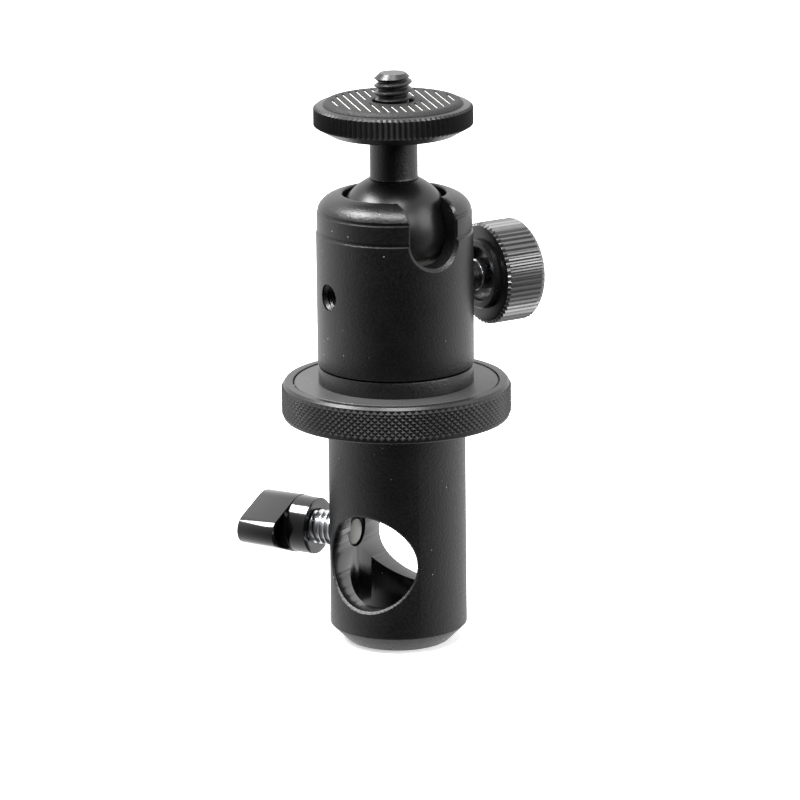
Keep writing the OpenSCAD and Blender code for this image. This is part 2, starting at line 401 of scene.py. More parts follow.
class Shader:
    """A short way to build a material's node tree."""

    def __init__(self, name: str) -> None:
        """Starts a material with one Principled shader that reads Object coordinates."""
        self.material = bpy.data.materials.new(name)
        self.material.use_nodes = True
        self.nodes = self.material.node_tree.nodes
        self.links = self.material.node_tree.links
        self.base = self.nodes["Principled BSDF"]
        self.place = self.nodes.new("ShaderNodeTexCoord").outputs["Object"]

    def set(self, **values: object) -> None:
        """Sets inputs of the Principled shader; an underscore in a name stands for a space."""
        for key, value in values.items():
            self.base.inputs[key.replace("_", " ")].default_value = value

    def noise(self, scale: float, detail: float = 2.0) -> Plug:
        """Adds a noise pattern of about so many features to the metre, with finer octaves."""
        noise = self.nodes.new("ShaderNodeTexNoise")
        noise.inputs["Scale"].default_value = scale
        noise.inputs["Detail"].default_value = detail
        self.links.new(self.place, noise.inputs["Vector"])
        return noise.outputs["Fac"]

    def ramp(
        self, value: Plug, low: tuple[float, Sequence[float]], high: tuple[float, Sequence[float]]
    ) -> Plug:
        """Turns a value into a colour between two stops."""
        ramp = self.nodes.new("ShaderNodeValToRGB")
        for stop, (position, colour) in zip(ramp.color_ramp.elements, (low, high)):
            stop.position = position
            stop.color = (*colour, 1)
        self.links.new(value, ramp.inputs["Fac"])
        return ramp.outputs["Color"]

    def spread(self, value: Plug, low: float, high: float) -> Plug:
        """Maps a value from 0..1 to low..high."""
        scale = self.nodes.new("ShaderNodeMapRange")
        scale.inputs["To Min"].default_value = low
        scale.inputs["To Max"].default_value = high
        self.links.new(value, scale.inputs["Value"])
        return scale.outputs["Result"]

    def specks(self, scale: float, size: float) -> Plug:
        """Adds sparse round specks and returns a mask that is 1 on them."""
        cells = self.nodes.new("ShaderNodeTexVoronoi")
        cells.inputs["Scale"].default_value = scale
        self.links.new(self.place, cells.inputs["Vector"])
        near = self.math("LESS_THAN", cells.outputs["Distance"], size)
        red = self.nodes.new("ShaderNodeSeparateColor")
        self.links.new(cells.outputs["Color"], red.inputs["Color"])
        rare = self.math("GREATER_THAN", red.outputs["Red"], 0.8)
        return self.math("MULTIPLY", near, rare)

    def math(self, operation: str, first: object, second: object) -> Plug:
        """Adds a Math node on two sockets or numbers."""
        node = self.nodes.new("ShaderNodeMath")
        node.operation = operation
        for socket, value in zip(node.inputs, (first, second)):
            if isinstance(value, Plug):
                self.links.new(value, socket)
            else:
                socket.default_value = value
        return node.outputs[0]

    def mix(self, mask: Plug, first: object, second: object) -> Plug:
        """Mixes two colours by a mask."""
        node = self.nodes.new("ShaderNodeMix")
        node.data_type = "RGBA"
        self.links.new(mask, node.inputs["Factor"])
        for socket, value in ((node.inputs["A"], first), (node.inputs["B"], second)):
            target = next(s for s in node.inputs if s.name == socket.name and s.type == "RGBA")
            if isinstance(value, Plug):
                self.links.new(value, target)
            else:
                target.default_value = (*value, 1)
        return next(s for s in node.outputs if s.type == "RGBA")

    def bump(self, value: Plug, height: float) -> None:
        """Raises the surface by a value."""
        node = self.nodes.new("ShaderNodeBump")
        node.inputs["Distance"].default_value = height
        node.inputs["Strength"].default_value = 1.0
        self.links.new(value, node.inputs["Height"])
        self.links.new(node.outputs["Normal"], self.base.inputs["Normal"])

    def colour(self, socket: Plug) -> None:
        """Drives the base colour."""
        self.links.new(socket, self.base.inputs["Base Color"])

    def rough(self, socket: Plug) -> None:
        """Drives the roughness."""
        self.links.new(socket, self.base.inputs["Roughness"])


@dataclass(frozen=True)
class BlackFinish:
    """Black anodised or blasted metal: a dark tone, a fine grain, soft gloss and a few specks of dust."""

    name: str
    tone: float = 0.003
    tone_spread: float = 0.005
    rough_low: float = 0.24
    rough_high: float = 0.56
    grain: float = 2800.0
    grain_height: float = 0.00006
    dust: float = 0.09
    ior: float = 1.5

    def make(self) -> Material:
        """Builds the material."""
        shader = Shader(self.name)
        dark = (self.tone,) * 3
        light = tuple(self.tone + self.tone_spread * k for k in (1.0, 1.0, 1.04))
        broad = shader.noise(260.0, 4.0)
        fine = shader.noise(self.grain, 3.0)
        body = shader.ramp(shader.math("ADD", shader.math("MULTIPLY", broad, 0.4), shader.math("MULTIPLY", fine, 0.6)),
                           (0.38, dark), (0.62, light))
        specks = shader.specks(800.0, self.dust)
        shader.colour(shader.mix(specks, body, (0.32, 0.31, 0.29)))
        shader.rough(shader.spread(fine, self.rough_low, self.rough_high))
        shader.bump(fine, self.grain_height)
        shader.set(IOR=self.ior)
        return shader.material


@dataclass(frozen=True)
class BrightFinish:
    """Bare or plated metal with faint turning marks."""

    name: str
    colour: tuple[float, float, float]
    rough_low: float = 0.12
    rough_high: float = 0.28
    marks: float = 900.0
    mark_height: float = 0.000004

    def make(self) -> Material:
        """Builds the material."""
        shader = Shader(self.name)
        worn = tuple(0.78 * c for c in self.colour)
        shader.colour(shader.ramp(shader.noise(700.0, 4.0), (0.25, worn), (0.6, self.colour)))
        shader.rough(shader.spread(shader.noise(self.marks, 3.0), self.rough_low, self.rough_high))
        shader.bump(shader.noise(self.marks * 4, 2.0), self.mark_height)
        shader.set(Metallic=1.0)
        return shader.material


@dataclass(frozen=True)
class MouldedFinish:
    """Moulded plastic or rubber."""

    name: str
    colour: tuple[float, float, float]
    rough_low: float
    rough_high: float
    grain: float = 2500.0
    grain_height: float = 0.000004
    coat: float = 0.0

    def make(self) -> Material:
        """Builds the material."""
        shader = Shader(self.name)
        shade = tuple(0.82 * c for c in self.colour)
        shader.colour(shader.ramp(shader.noise(400.0, 3.0), (0.3, shade), (0.7, self.colour)))
        fine = shader.noise(self.grain, 3.0)
        shader.rough(shader.spread(fine, self.rough_low, self.rough_high))
        shader.bump(fine, self.grain_height)
        shader.set(Coat_Weight=self.coat, Coat_Roughness=0.05)
        return shader.material


class Finishes:
    """Every finish of the object, made once."""

    def __init__(self) -> None:
        """Makes the materials."""
        self.housing = BlackFinish("satin_black", rough_low=0.24, rough_high=0.46).make()
        self.tube = BlackFinish("blasted_black", rough_low=0.26, rough_high=0.58, grain_height=0.00009).make()
        self.knurl = BlackFinish(
            "knurl_black", tone=0.006, rough_low=0.28, rough_high=0.4, grain_height=0.00001, dust=0.0).make()
        self.knob = BlackFinish(
            "knob_black", tone=0.02, rough_low=0.26, rough_high=0.36, grain_height=0.000006, dust=0.0, ior=2.3).make()
        self.deck = BlackFinish(
            "deck_grey", tone=0.035, tone_spread=0.015, rough_low=0.36, rough_high=0.46, grain_height=0.00002).make()
        self.ball = BlackFinish("ball_black", rough_low=0.3, rough_high=0.36, grain_height=0.00001, dust=0.0).make()
        self.bore = BlackFinish(
            "bored_black", rough_low=0.14, rough_high=0.24, grain=1500.0, grain_height=0.000002, ior=1.8).make()
        self.screw = BlackFinish(
            "screw_black", tone=0.008, rough_low=0.24, rough_high=0.34, grain_height=0.000006, dust=0.0).make()
        self.zinc = BrightFinish("zinc", (0.8, 0.81, 0.83)).make()
        self.brass = BrightFinish("brass", (0.78, 0.56, 0.27)).make()
        self.nylon = MouldedFinish("nylon", (0.86, 0.85, 0.8), 0.35, 0.5).make()
        self.fibre = MouldedFinish("fibre", (0.5, 0.44, 0.33), 0.6, 0.8).make()
        # Light grey for the pad's groove floors is a painted highlight: it stands in for the white they reflect, and
        # the real floors are black rubber.
        self.groove = MouldedFinish("groove_painted_highlight", (0.8, 0.8, 0.78), 0.4, 0.6, 3000.0).make()
        self.rubber = MouldedFinish("grained_rubber", (0.006, 0.006, 0.006), 0.45, 0.85, 3200.0, 0.00012).make()
        self.gloss = MouldedFinish("gloss_black", (0.008, 0.008, 0.009), 0.08, 0.14, 900.0, 0.000003, 0.5).make()


def finish_piece(
    piece: Piece, material: Material, body: str, node: str, angle: float = 35.0
) -> None:
    """Shades and dresses a piece, and says what it rides on and stands for.

    Args:
        piece: The finished mesh.
        material: Its finish.
        body: The body that it moves with.
        node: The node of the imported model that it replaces.
        angle: Edges sharper than this stay sharp.
    """
    activate(piece)
    bpy.ops.object.shade_smooth_by_angle(angle=math.radians(angle))
    if not piece.data.materials:
        piece.data.materials.append(material)
    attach(piece, body)
    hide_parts(node)
    LOG.info("%s: %d faces, rides on %s", piece.name, len(piece.data.polygons), body)


def radius_of(node: str) -> float:
    """Gives the outer radius of a node that is turned round the part's axis."""
    low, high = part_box(node)
    return (high[0] - low[0]) / 2


def heights_of(node: str) -> tuple[float, float]:
    """Gives a node's lowest and highest point."""
    low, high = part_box(node)
    return low[2], high[2]


@dataclass(frozen=True)
class Layout:
    """Places that several pieces share, read from the frame's joints."""

    ball_z: float
    notch_azimuth: float
    knob_azimuth: float
    knob_z: float
    clamp_z: float

    @classmethod
    def read(cls, joints: Sequence[dict]) -> "Layout":
        """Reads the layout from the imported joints."""
        by_name = {joint["name"]: joint for joint in joints}
        tilt, knob, clamp = (by_name[name] for name in ("ball_tilt", "knob_turn", "clamp_turn"))
        return cls(
            ball_z=tilt["pos_m"][2],
            notch_azimuth=math.atan2(tilt["axis"][1], tilt["axis"][0]),
            knob_azimuth=math.atan2(knob["axis"][0], -knob["axis"][1]),
            knob_z=knob["pos_m"][2],
            clamp_z=clamp["pos_m"][2],
        )


# Sub-assemblies


@dataclass
class Socket:
    """The stand socket: a tube with an upright bore, a cross bore and a threaded clamp hole."""

    finishes: Finishes
    layout: Layout
    tube_r: float = 11.6 * MM
    bore_r: float = 8.2 * MM
    bore_depth: float = 36 * MM
    cross_r: float = 8.2 * MM
    cross_z: float = 15.5 * MM
    rim_chamfer: float = 2.8 * MM
    flange_h: float = 2.5 * MM
    pocket_r: float = 7.2 * MM
    pocket_h: float = 3.4 * MM
    hole_r: float = 2.55 * MM
    edge: float = 0.3 * MM
    window_edge: float = 0.4 * MM

    def build(self) -> None:
        """Builds the socket's body."""
        top = heights_of("socket_body")[1]
        flange_r = radius_of("socket_body")
        flange_z = top - self.flange_h
        body = turn("socket_tube", [
            (0, self.bore_depth), (self.bore_r, self.bore_depth), (self.bore_r, 0),
            (self.tube_r - self.rim_chamfer, 0), (self.tube_r, self.rim_chamfer), (self.tube_r, flange_z),
            (flange_r, flange_z), (flange_r, top), (self.pocket_r, top),
            (self.pocket_r, top - self.pocket_h), (0, top - self.pocket_h)], 160)
        rim = [(math.cos(a), math.sin(a)) for a in (TURN * k / 128 for k in range(128))]
        outline = [(self.cross_r * x, self.cross_r * y, x, y) for x, y in rim]
        for azimuth in (0.0, math.pi):
            cross = flared("cross_cutter", outline, lambda x, _: math.sqrt(self.tube_r ** 2 - x * x),
                           -0.5 * MM, self.tube_r + 2 * MM, self.window_edge)
            lay(cross, azimuth, self.cross_z)
            combine(body, cross)
        hole = thread("clamp_tap", 3.05 * MM, self.hole_r, 1.0 * MM, 0.5 * self.tube_r, 1.2 * self.tube_r)
        lay(hole, -math.pi / 2, self.layout.clamp_z)
        combine(body, hole)
        soften(body, self.edge, 2, 40)
        self.dress(body)

    def dress(self, body: Piece) -> None:
        """Gives the outside its blasted finish and the bores a machined one."""
        body.data.materials.append(self.finishes.tube)
        body.data.materials.append(self.finishes.bore)
        reach = self.bore_r + 0.25 * MM
        for face in body.data.polygons:
            x, y, z = face.center
            upright = math.hypot(x, y) < reach and z > 0.2 * MM
            across = math.hypot(x, z - self.cross_z) < self.cross_r + 0.02 * MM and math.hypot(x, y) < self.tube_r
            face.material_index = 1 if upright or across else 0
        finish_piece(body, self.finishes.tube, "socket", "socket_body")


@dataclass
class Turntable:
    """The knurled lock ring and the plate that it holds down."""

    finishes: Finishes
    knurl_lines: int = 104
    knurl_depth: float = 0.34 * MM
    knurl_rows: int = 10
    knurl_low: float = 0.45 * MM
    knurl_high: float = 0.55 * MM
    lip_r: float = 17.4 * MM
    lip_h: float = 1.35 * MM
    bore_gap: float = 1.05 * MM

    def build(self) -> None:
        """Builds the ring and the plate."""
        self.build_ring()
        self.build_plate()

    def build_ring(self) -> None:
        """Builds the lock ring with a diamond knurl cut into its rim."""
        low, high = heights_of("lock_ring")
        crest = radius_of("lock_ring")
        root = crest - self.knurl_depth
        bore = crest - self.bore_gap
        start, end = low + self.knurl_low, high - self.knurl_high
        rings: list[Ring] = [
            ((bore,), low), ((root - 0.15 * MM,), low), ((root,), low + 0.15 * MM), ((root,), start - 0.1 * MM)]
        for row in range(self.knurl_rows + 1):
            pair = (root, crest) if row % 2 else (crest, root)
            if row in (0, self.knurl_rows):
                pair = (root, root)
            rings.append((pair, start + (end - start) * row / self.knurl_rows))
        rings += [
            ((root,), end + 0.1 * MM), ((root - 0.35 * MM,), high), ((self.lip_r + 0.12 * MM,), high),
            ((self.lip_r,), high - 0.12 * MM), ((self.lip_r,), high - self.lip_h), ((bore,), high - self.lip_h)]
        ring = toothed("lock_ring_knurled", self.knurl_lines, rings)
        activate(ring)
        bpy.ops.object.mode_set(mode="EDIT")
        near = 0.01 * MM
        pick(ring, lambda place: abs(place.xy.length - root) < near and start - near < place.z < end + near)
        bpy.ops.mesh.vert_connect()
        bpy.ops.object.mode_set(mode="OBJECT")
        finish_piece(ring, self.finishes.knurl, "lock_ring", "lock_ring", 20)

    def build_plate(self) -> None:
        """Builds the turntable plate, which lies flush inside the ring."""
        low, high = heights_of("pan_plate")
        flange = radius_of("pan_plate")
        step = heights_of("glide_washer")[0]
        rim = self.lip_r - 0.25 * MM
        plate = turn("turntable_plate", [
            (3 * MM, low), (flange, low), (flange, step), (rim, step), (rim, high - 0.12 * MM),
            (rim - 0.12 * MM, high), (3 * MM, high), (3 * MM, low)])
        finish_piece(plate, self.finishes.deck, "head", "pan_plate")


@dataclass
class Head:
    """The ball head's base and its notched housing."""

    finishes: Finishes
    layout: Layout
    cavity_r: float = 9.75 * MM
    mouth_r: float = 8.7 * MM
    brim_r: float = 9.3 * MM
    brim_bend: tuple[float, float] = (12.1 * MM, 0.55 * MM)
    rim_r: float = 13.15 * MM
    groove_rises: tuple[float, float] = (0.0, 3.5 * MM)
    groove_w: float = 0.7 * MM
    groove_d: float = 0.3 * MM
    step_in: float = 0.17 * MM
    notch_r: float = 4.35 * MM
    notch_edge: float = 0.42 * MM
    knob_hole_r: float = 3.0 * MM
    grub_hole_r: float = 1.9 * MM
    segments: int = 192
    base_h: float = 2.8 * MM
    base_edge: float = 0.3 * MM
    plug_r: float = 9.6 * MM

    def build(self) -> None:
        """Builds the base and the housing."""
        low, high = heights_of("head_base")
        rim = radius_of("head_base")
        shoulder, soft = low + self.base_h, self.base_edge
        base = turn("head_base_disc", [
            (0, low), (rim - 0.1 * MM, low), (rim, low + 0.1 * MM), (rim, shoulder - soft),
            (rim - 0.3 * soft, shoulder - 0.3 * soft), (rim - soft, shoulder), (self.plug_r, shoulder),
            (self.plug_r, high), (0, high)])
        finish_piece(base, self.finishes.housing, "head", "head_base")
        self.build_housing()

    def dome(self, high: float) -> list[tuple[float, float]]:
        """Gives the curve of the dome, from the upper groove's edge to the brim."""
        first = Vector((self.rim_r - 2 * self.step_in, self.layout.ball_z + self.groove_rises[1] + self.groove_w / 2))
        bend = Vector((self.brim_bend[0], high - self.brim_bend[1]))
        last = Vector((self.brim_r, high))
        curve = ((1 - t) ** 2 * first + 2 * t * (1 - t) * bend + t * t * last for t in (k / 14 for k in range(15)))
        return [(point.x, point.y) for point in curve]

    def skin(self, across: float, up: float, high: float) -> float:
        """Gives how far the housing's skin lies from the middle, at a place on the notch's outline.

        Args:
            across: Distance sideways from the notch's middle.
            up: Height over the ball's centre.
            high: Height of the brim.

        Returns:
            Distance outwards along the notch's direction.
        """
        height = up + self.layout.ball_z
        radius = self.brim_r if height > high else self.rim_r - self.step_in
        for (r_from, z_from), (r_to, z_to) in zip(self.dome(high), self.dome(high)[1:]):
            if z_from < height <= z_to:
                radius = r_from + (r_to - r_from) * (height - z_from) / (z_to - z_from)
        return math.sqrt(radius ** 2 - across ** 2)

    def notch_outline(self) -> Outline:
        """Gives the outline of the notch: half a circle with a straight wall up from each end."""
        r, rise, steps = self.notch_r, 12 * MM, 15
        arc = [(math.cos(a), math.sin(a)) for a in (math.pi * (1 + k / 33) for k in range(34))]
        walls = [rise * k / steps for k in range(1, steps + 1)]
        return [*((r * x, r * y, x, y) for x, y in arc), *((r, y, 1.0, 0.0) for y in walls),
                *((-r, y, -1.0, 0.0) for y in reversed(walls))]

    def outline(self, low: float, high: float) -> list[tuple[float, float]]:
        """Gives the housing's profile, from the cavity's mouth round the outside and back."""
        ball_z, rim = self.layout.ball_z, self.rim_r
        soft = self.base_edge
        points = [(self.cavity_r, low), (rim - soft, low), (rim - 0.3 * soft, low + 0.3 * soft), (rim, low + soft)]
        for number, rise in enumerate(self.groove_rises):
            wall = rim - number * self.step_in
            half = self.groove_w / 2
            middle = ball_z + rise
            points += [
                (wall, middle - half), (wall - self.groove_d, middle - 0.5 * half),
                (wall - self.groove_d, middle + 0.5 * half), (wall - self.step_in, middle + half)]
        points += self.dome(high)[1:]
        points += [(self.mouth_r + 0.2 * MM, high), (self.mouth_r, high - 0.2 * MM)]
        reach = radius_of("ball") + 0.05 * MM
        first = math.asin(self.mouth_r / reach)
        for step in range(0, 9):
            angle = first + (math.pi / 2 - first) * step / 8
            points.append((reach * math.sin(angle), ball_z + reach * math.cos(angle)))
        points += [(self.cavity_r, ball_z), (self.cavity_r, low)]
        return points

    def build_housing(self) -> None:
        """Turns the housing, cuts its notch and holes, and breaks the notch's edge."""
        low, high = heights_of("head_housing")
        rim = self.rim_r
        housing = turn("ball_housing", self.outline(low, high), self.segments)
        reach = rim + 2 * MM
        notch = flared("notch_cutter", self.notch_outline(), lambda x, y: self.skin(x, y, high), 0, reach,
                       self.notch_edge)
        lay(notch, self.layout.notch_azimuth, self.layout.ball_z)
        combine(housing, notch)
        knob_hole = cylinder("knob_cutter", self.knob_hole_r, 5 * MM, reach, 64)
        lay(knob_hole, self.layout.knob_azimuth, self.layout.knob_z)
        combine(housing, knob_hole)
        grub_azimuth = self.layout.knob_azimuth + math.pi
        tap = thread("grub_tap", self.grub_hole_r + 0.12 * MM, self.grub_hole_r - 0.16 * MM, 0.8 * MM, 5 * MM, reach)
        lay(tap, grub_azimuth, self.layout.knob_z)
        combine(housing, tap)
        narrow, wide = self.grub_hole_r - 0.2 * MM, self.grub_hole_r + 0.35 * MM
        sink = turn("grub_sink", [
            (0, rim - 1.1 * MM), (narrow, rim - 1.1 * MM), (wide, rim - 0.5 * MM), (wide, rim + MM),
            (0, rim + MM)], 64)
        lay(sink, grub_azimuth, self.layout.knob_z)
        combine(housing, sink)
        finish_piece(housing, self.finishes.housing, "head", "head_housing", 28)


@dataclass
class LockKnob:
    """The ribbed knob, its polished screw and the grub screw opposite."""

    finishes: Finishes
    layout: Layout
    ribs: int = 54
    rib_depth: float = 0.42 * MM
    face: float = 17.2 * MM
    length: float = 7.7 * MM
    boss_r: float = 5.95 * MM
    boss_h: float = 0.95 * MM
    recess_r: float = 4.6 * MM
    shaft_r: float = 2.65 * MM
    knob_r: float = 8.65 * MM
    grub_tip: float = 7.5 * MM
    grub_r: float = 1.7 * MM
    grub_key_r: float = 1.2 * MM
    tap_r: float = 2.9 * MM
    screw_tip: float = 9.65 * MM

    def build(self) -> None:
        """Builds the knob and both screws."""
        self.build_knob()
        self.build_screw()
        self.build_grub()

    def build_knob(self) -> None:
        """Builds the knob: a ribbed rim, a boss on its inner face and a shallow dish outside."""
        near, far = self.face, self.face + self.length
        tip, root = self.knob_r, self.knob_r - self.rib_depth
        rib = (tip, tip, root, root)
        rings: list[Ring] = [
            ((self.shaft_r - 0.02 * MM,), near + 1.4 * MM), ((self.recess_r,), near + 1.4 * MM),
            ((self.recess_r,), near - self.boss_h + 0.25 * MM), ((self.recess_r + 0.25 * MM,), near - self.boss_h),
            ((self.boss_r - 0.3 * MM,), near - self.boss_h), ((self.boss_r,), near - self.boss_h + 0.3 * MM),
            ((self.boss_r,), near), ((root - 0.5 * MM,), near), ((root - 0.1 * MM,), near + 0.12 * MM),
            (rib, near + 0.5 * MM), (rib, far - 0.75 * MM), ((root - 0.35 * MM,), far),
            ((self.knob_r - 1.9 * MM,), far), ((self.knob_r - 2.2 * MM,), far - 0.5 * MM),
            ((0.8 * MM,), far - 0.6 * MM), ((0.8 * MM,), far - 1.6 * MM)]
        rings += [((self.shaft_r - 0.02 * MM,), far - 1.7 * MM)]
        knob = toothed("lock_knob_ribbed", self.ribs, rings)
        # The inner face, turned towards the housing, gets the darker screw finish: painted shade for the gap between
        # knob and housing.
        knob.data.materials.append(self.finishes.knob)
        knob.data.materials.append(self.finishes.screw)
        for face in knob.data.polygons:
            face.material_index = 1 if face.center.z < near + 0.2 * MM else 0
        lay(knob, self.layout.knob_azimuth, self.layout.knob_z)
        finish_piece(knob, self.finishes.knob, "knob", "lock_knob", 25)

    def build_screw(self) -> None:
        """Builds the knob's screw, polished between the knob and the housing."""
        shaft, end = self.shaft_r, self.face + self.length - 2.1 * MM
        tip, tap, neck = self.screw_tip, self.tap_r, shaft - 0.22 * MM
        screw = turn("knob_screw_polished", [
            (0, tip), (tap - 0.4 * MM, tip), (tap, tip + 0.4 * MM), (tap, 13.0 * MM), (shaft, 13.5 * MM),
            (shaft, 15.4 * MM), (neck, 15.55 * MM), (neck, 15.9 * MM), (shaft, 16.05 * MM), (shaft, end),
            (0, end)], 96)
        lay(screw, self.layout.knob_azimuth, self.layout.knob_z)
        finish_piece(screw, self.finishes.zinc, "knob", "knob_screw")

    def build_grub(self) -> None:
        """Builds the grub screw with its hexagon socket."""
        tip, radius = self.grub_tip, self.grub_r
        grub = turn("grub_screw_socketed", [
            (0, tip), (0.3 * MM, tip), (radius, tip + 1.8 * MM), (radius, tip + 3.8 * MM),
            (radius - 0.25 * MM, tip + 4.05 * MM), (0, tip + 4.05 * MM)], 64)
        key = cylinder("key_cutter", self.grub_key_r, tip + 2.4 * MM, tip + 5 * MM, 6)
        combine(grub, key)
        lay(grub, self.layout.knob_azimuth + math.pi, self.layout.knob_z)
        finish_piece(grub, self.finishes.screw, "head", "grub_screw")


@dataclass
class Stem:
    """The ball and what stands on it: neck, platform, pad and camera screw."""

    finishes: Finishes
    layout: Layout
    neck_r: float = 4.0 * MM
    teeth: int = 88
    tooth_depth: float = 0.42 * MM
    bevel_h: float = 1.5 * MM
    pad_groove_pitch: float = 1.4 * MM
    pad_groove_w: float = 0.42 * MM
    pad_groove_d: float = 0.26 * MM
    pad_groove_turn: float = math.radians(43)
    pad_border: float = 1.5 * MM
    pad_middle_r: float = 4.6 * MM

    def build(self) -> None:
        """Builds the ball and the stem's pieces."""
        self.build_ball()
        self.build_neck()
        self.build_platform()
        self.build_pad()
        self.build_screw()

    def flat_z(self) -> float:
        """Gives the height of the ball's flat, on which the neck stands."""
        return heights_of("ball")[1]

    def build_ball(self) -> None:
        """Turns the ball with its flat and its threaded hole."""
        radius, middle = 9.67 * MM, self.layout.ball_z
        flat = self.flat_z()
        first = math.acos((flat - middle) / radius)
        hole = 2.5 * MM
        arc = [(radius * math.sin(a), middle + radius * math.cos(a))
               for a in (first + (math.pi - first) * k / 48 for k in range(48))]
        ball = turn("ball_ground", [
            (0, flat - 6 * MM), (hole, flat - 6 * MM), (hole, flat), *arc, (0, middle - radius)], 128)
        finish_piece(ball, self.finishes.ball, "ball", "ball")

    def build_neck(self) -> None:
        """Turns the neck, with a fillet where it meets the ball."""
        low, high = heights_of("neck")
        flat = self.flat_z() + 0.05 * MM
        seat = heights_of("platform_disc")[0]
        stud, wide = 2.45 * MM, self.neck_r
        neck = turn("stem_neck", [
            (0, low), (stud - 0.4 * MM, low), (stud, low + 0.4 * MM), (stud, flat), (wide + 0.12 * MM, flat),
            (wide + 0.14 * MM, flat + 0.08 * MM), (wide + 0.05 * MM, flat + 0.22 * MM), (wide, flat + 0.45 * MM),
            (wide, seat - 0.01 * MM), (3.5 * MM, seat), (3.5 * MM, high), (0, high)], 96)
        finish_piece(neck, self.finishes.housing, "stem", "neck")

    def build_platform(self) -> None:
        """Builds the platform disc with its straight V knurl."""
        low, high = heights_of("platform_disc")
        tip = radius_of("platform_disc")
        root = tip - self.tooth_depth
        hole = 3.55 * MM
        tooth = (tip, root)
        disc = toothed("platform_knurled", self.teeth, [
            ((hole,), low), ((root - 2.3 * MM,), low), ((root - 0.02 * MM,), low + self.bevel_h - 0.2 * MM),
            (tooth, low + self.bevel_h + 0.05 * MM), (tooth, high - self.tooth_depth),
            ((root - 0.03 * MM,), high - 0.08 * MM),
            ((root - 0.25 * MM,), high), ((hole,), high)])
        finish_piece(disc, self.finishes.knurl, "stem", "platform_disc", 25)

    def build_pad(self) -> None:
        """Builds the rubber pad, cuts its slanting grooves and paints a light grey highlight into their floors."""
        low, high = heights_of("platform_pad")
        rim = radius_of("platform_pad")
        hole = 3.475 * MM
        pad = turn("ribbed_pad", [
            (hole, low), (rim, low), (rim - 0.05 * MM, low + 0.15 * MM), (rim - 0.5 * MM, high - 0.06 * MM),
            (rim - 0.65 * MM, high), (hole + 0.15 * MM, high), (hole, high - 0.15 * MM), (hole, low)])
        floor = high - self.pad_groove_d
        edge = rim - self.pad_border
        count = math.floor(edge / self.pad_groove_pitch)
        half = self.pad_groove_w / 2
        grooves = block("groove_cutter", (-half, -rim, floor), (half, rim, high + MM))
        grooves.location.x = -count * self.pad_groove_pitch
        activate(grooves)
        settle()
        add_modifier(grooves, "ARRAY", {
            "count": 2 * count + 1, "use_relative_offset": False, "use_constant_offset": True,
            "constant_offset_displace": (self.pad_groove_pitch, 0, 0)})
        zone = turn("groove_zone", [
            (self.pad_middle_r, floor - MM), (edge, floor - MM), (edge, high + 2 * MM),
            (self.pad_middle_r, high + 2 * MM), (self.pad_middle_r, floor - MM)], 96)
        combine(grooves, zone, Boolean.CLIP)
        grooves.rotation_euler = (0, 0, self.pad_groove_turn)
        activate(grooves)
        settle()
        combine(pad, grooves)
        soften(pad, 0.05 * MM, 2, 50)
        # The groove floors get the light grey finish: a painted highlight for the white they reflect, not a colour of
        # the rubber.
        pad.data.materials.append(self.finishes.rubber)
        pad.data.materials.append(self.finishes.groove)
        for face in pad.data.polygons:
            inside = hole + 0.3 * MM < math.hypot(face.center.x, face.center.y) < edge + 0.05 * MM
            face.material_index = 1 if inside and face.center.z < high - 0.18 * MM and face.normal.z > 0.5 else 0
        finish_piece(pad, self.finishes.rubber, "stem", "platform_pad")

    def build_screw(self) -> None:
        """Winds the camera screw's thread and points its end."""
        low, high = heights_of("camera_screw")
        crest = radius_of("camera_screw")
        shank, root, pitch = 2.6 * MM, 2.5 * MM, 1.27 * MM
        start = heights_of("platform_pad")[1]
        screw = thread("camera_screw_threaded", crest, root, pitch, low + 0.01 * MM, high + 0.5 * MM)
        limit = turn("screw_limit", [
            (0, low), (shank, low), (shank, start - 0.1 * MM), (crest + 0.05 * MM, start + 0.35 * MM),
            (crest + 0.05 * MM, high - 0.95 * MM), (2.2 * MM, high), (0, high)], 96)
        combine(screw, limit, Boolean.CLIP)
        finish_piece(screw, self.finishes.screw, "stem", "camera_screw", 30)


